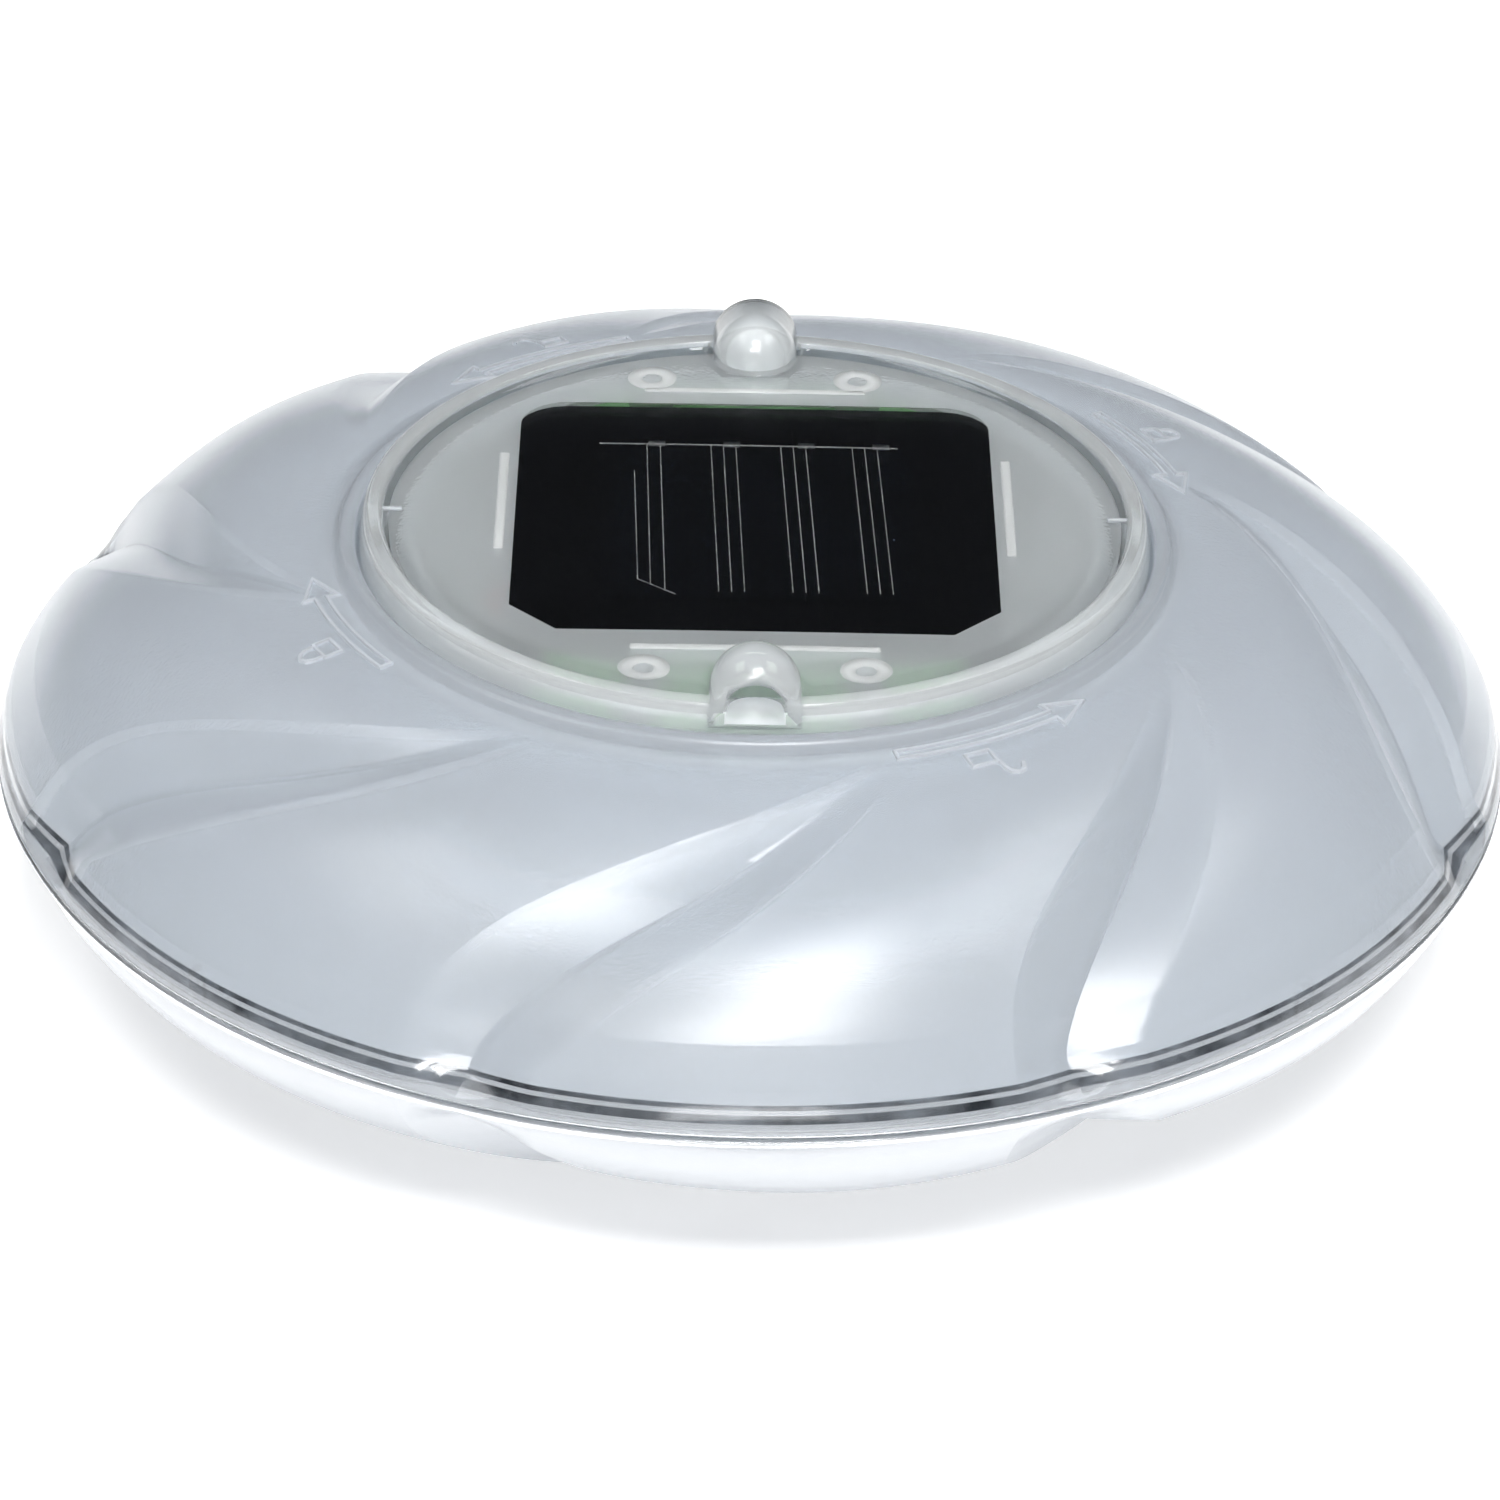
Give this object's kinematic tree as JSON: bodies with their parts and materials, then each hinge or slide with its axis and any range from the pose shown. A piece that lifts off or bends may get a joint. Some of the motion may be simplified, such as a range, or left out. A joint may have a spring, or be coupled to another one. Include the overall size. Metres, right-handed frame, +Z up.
{
  "type": "floating solar pool light",
  "caption": "Round floating pool light: frosted two-part float with swirled lobes and a twist-lock lamp module that has a solar panel under its window.",
  "frame": {"origin": "centre of the flat base under the lower shell", "axes": "+Z up through the centre of the lamp module, +X to the right and -Y towards the viewer, through one of the two hooded lugs"},
  "size_m": [0.18, 0.18, 0.0592],
  "materials": {
    "shell_plastic": "frosted translucent",
    "pin_plastic": "clear",
    "cap_plastic": "translucent, frosted inside",
    "bond_resin": "clear",
    "panel_black": "satin",
    "cell_silicon": "gloss",
    "board_green": "satin",
    "led_epoxy": "clear",
    "component_black": "matte",
    "base_plastic": "satin",
    "seal_rubber": "matte",
    "battery_can": "gloss sleeve",
    "wire_red": "satin",
    "wire_black": "satin",
    "steel": "bright"
  },
  "bodies": {
    "float": {"lower_shell": "shell_plastic", "shell_pin_1": "pin_plastic", "shell_pin_2": "pin_plastic", "shell_pin_3": "pin_plastic", "shell_pin_4": "pin_plastic", "upper_shell": "shell_plastic"},
    "module": {"base_screw_1": "steel", "base_screw_2": "steel", "base_screw_3": "steel", "base_screw_4": "steel", "battery": "battery_can", "battery_cover": "base_plastic", "battery_wire_black": "wire_black", "battery_wire_red": "wire_red", "board_screw_1": "steel", "board_screw_2": "steel", "board_screw_3": "steel", "board_screw_4": "steel", "capacitor": "component_black", "cell_tab_1": "steel", "cell_tab_2": "steel", "cell_tab_3": "steel", "cell_tab_4": "steel", "circuit_board": "board_green", "contact_minus": "steel", "contact_plus": "steel", "contact_spring": "steel", "controller_chip": "component_black", "cover_screw_1": "steel", "cover_screw_2": "steel", "inductor": "component_black", "led_1": "led_epoxy", "led_2": "led_epoxy", "led_3": "led_epoxy", "led_4": "led_epoxy", "module_base": "base_plastic", "panel_board": "panel_black", "panel_bond": "bond_resin", "panel_wire_black": "wire_black", "panel_wire_red": "wire_red", "seal_ring": "seal_rubber", "solar_cap": "cap_plastic", "solar_cell_1": "cell_silicon", "solar_cell_2": "cell_silicon", "solar_cell_3": "cell_silicon", "solar_cell_4": "cell_silicon", "switch_body": "component_black"},
    "switch": {"switch_knob": "component_black"}
  },
  "joints": [
    {"name": "module_twist", "type": "hinge", "parent": "float", "child": "module", "pos_m": [0, 0, 0], "axis": [0, 0, 1], "range_deg": [0, 35]},
    {"name": "switch_slide", "type": "slide", "parent": "module", "child": "switch", "axis": [1, 0, 0], "range_m": [0, 0.0025]}
  ]
}
